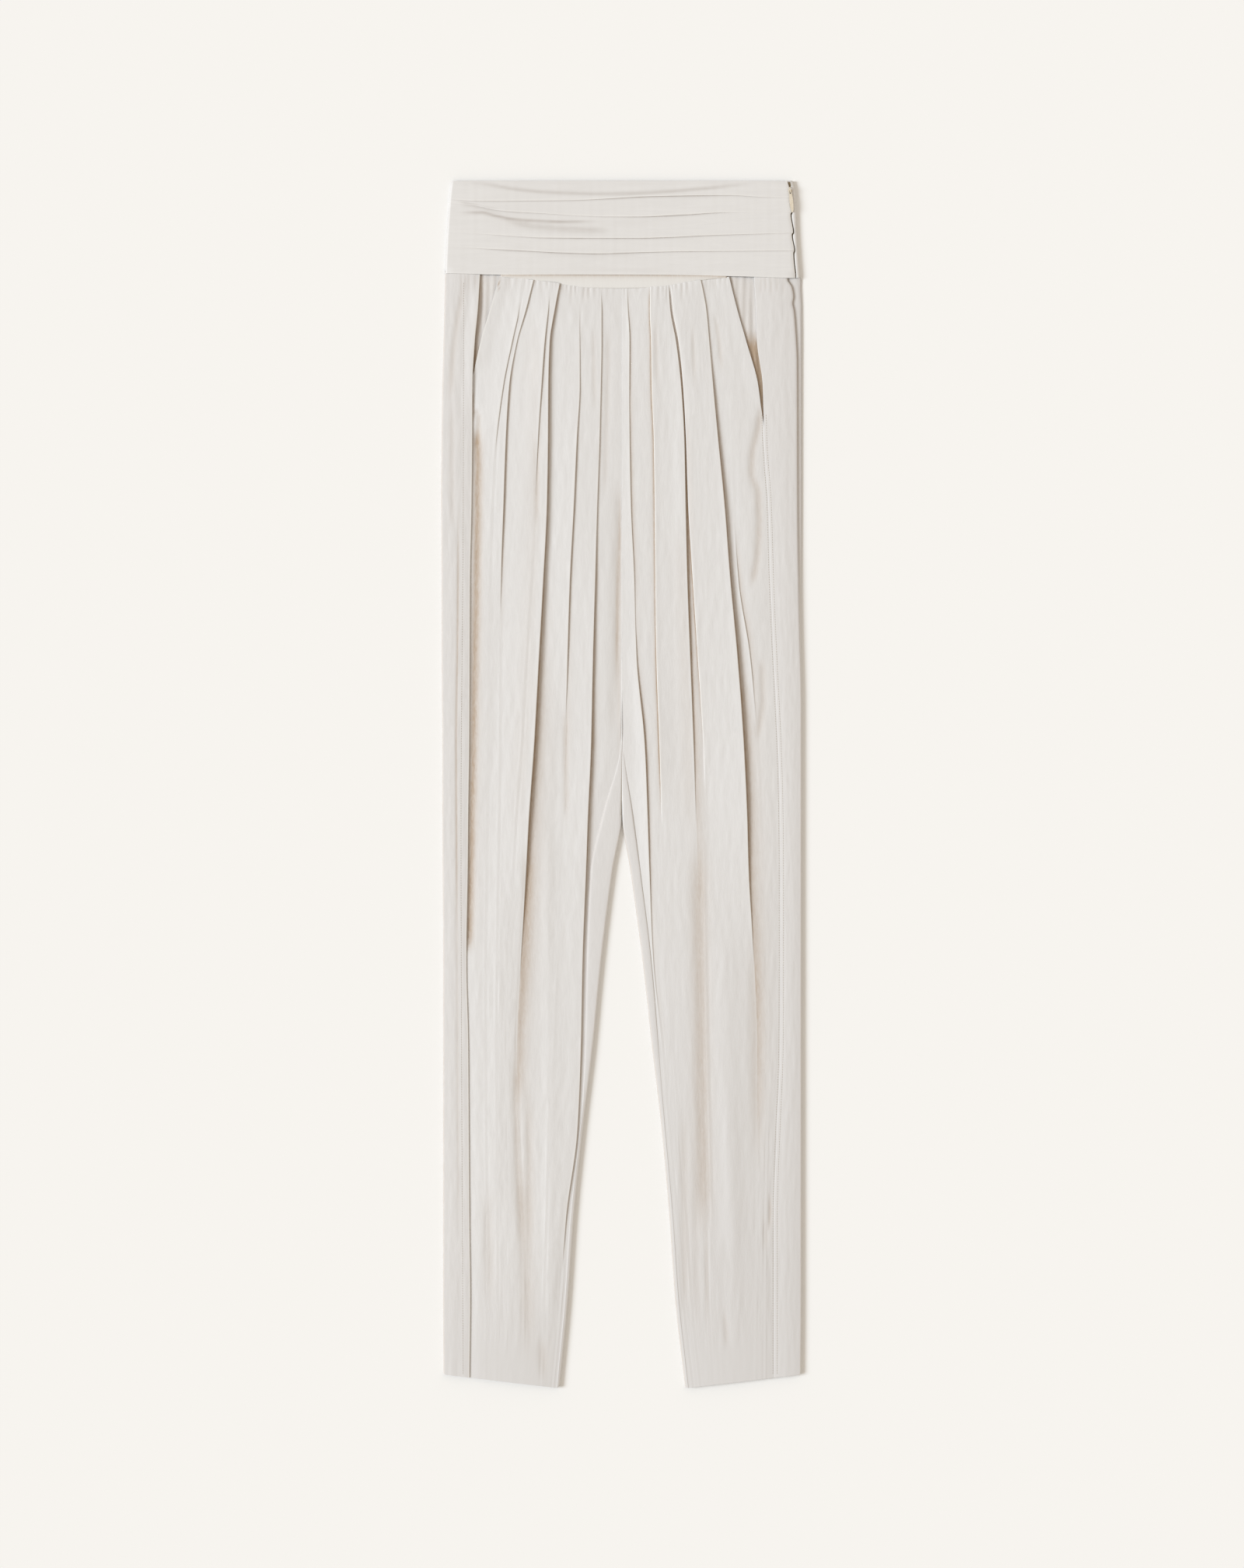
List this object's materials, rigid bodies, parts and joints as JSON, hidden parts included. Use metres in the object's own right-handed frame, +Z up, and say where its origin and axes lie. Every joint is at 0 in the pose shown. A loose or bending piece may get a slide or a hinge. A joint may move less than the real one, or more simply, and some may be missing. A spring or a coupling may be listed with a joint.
{
  "type": "pleated high-waisted trousers laid flat",
  "caption": "High-waisted trousers laid flat: pleated waistband with a side zip, fronts gathered into long open folds, slant pockets, dropped crotch and tapered legs.",
  "frame": {"origin": "middle of the garment's footprint, on the surface it lies on", "axes": "+X to the picture's right, across the legs; +Y up towards the waist; +Z up from the surface, out of the front of the garment"},
  "size_m": [0.3338, 1.1174, 0.009],
  "materials": {
    "cloth": "off-white fluid crepe with fine lengthwise slubs",
    "tape": "woven zip tape with a fine coil, in shade",
    "zip_metal": "cream lacquer, satin"
  },
  "bodies": {
    "trousers": {"band_back": "cloth", "band_front": "cloth", "front_yoke": "cloth", "back_left": "cloth", "back_right": "cloth", "front_left": "cloth", "front_right": "cloth", "pocket_facing_left": "cloth", "pocket_facing_right": "cloth", "zip_tape": "tape", "zip_slider": "zip_metal"},
    "pull": {"zip_pull": "zip_metal"}
  },
  "joints": [
    {"name": "zip_pull_hinge", "type": "hinge", "parent": "trousers", "child": "pull", "pos_m": [0.15605, 0.5493, 0.005], "axis": [-0.9945, -0.1045, 0], "range_deg": [0, 170]}
  ]
}
